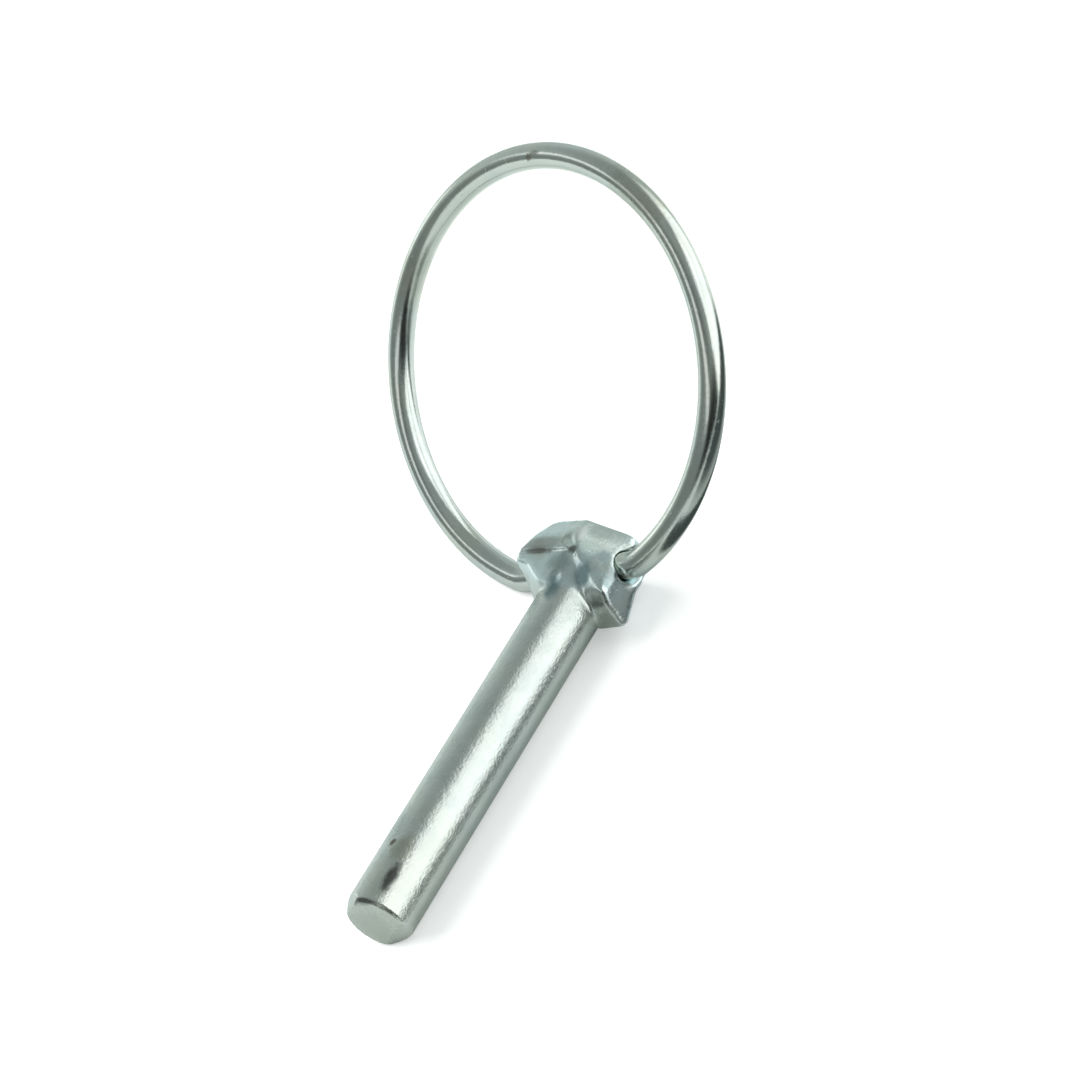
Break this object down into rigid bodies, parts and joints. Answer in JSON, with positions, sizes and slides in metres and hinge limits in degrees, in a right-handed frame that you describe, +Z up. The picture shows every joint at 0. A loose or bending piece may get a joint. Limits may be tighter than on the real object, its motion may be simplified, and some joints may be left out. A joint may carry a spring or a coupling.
{
  "type": "lynch pin",
  "caption": "Lynch pin: a round forged pin with a faceted head and a spring-wire ring hinged in a hole across the head.",
  "frame": {"origin": "the middle of the model's base, on the surface it lies on", "axes": "+Y along the pin from its tip to its head, +Z up; the ring stands over the +Y end, leaning away from the tip"},
  "size_m": [0.0522, 0.0856, 0.0432],
  "materials": {
    "pin": "bright zinc plate over a rough forging, satin",
    "ring": "bright zinc plate on drawn spring wire, satin"
  },
  "bodies": {
    "pin": {"pin": "pin"},
    "ring": {"ring": "ring"}
  },
  "joints": [
    {"name": "ring_hinge", "type": "hinge", "parent": "pin", "child": "ring", "pos_m": [0.00694, 0.01011, 0.00495], "axis": [0.9461, -0.0018, 0.3238], "range_deg": [-222, 124]}
  ]
}
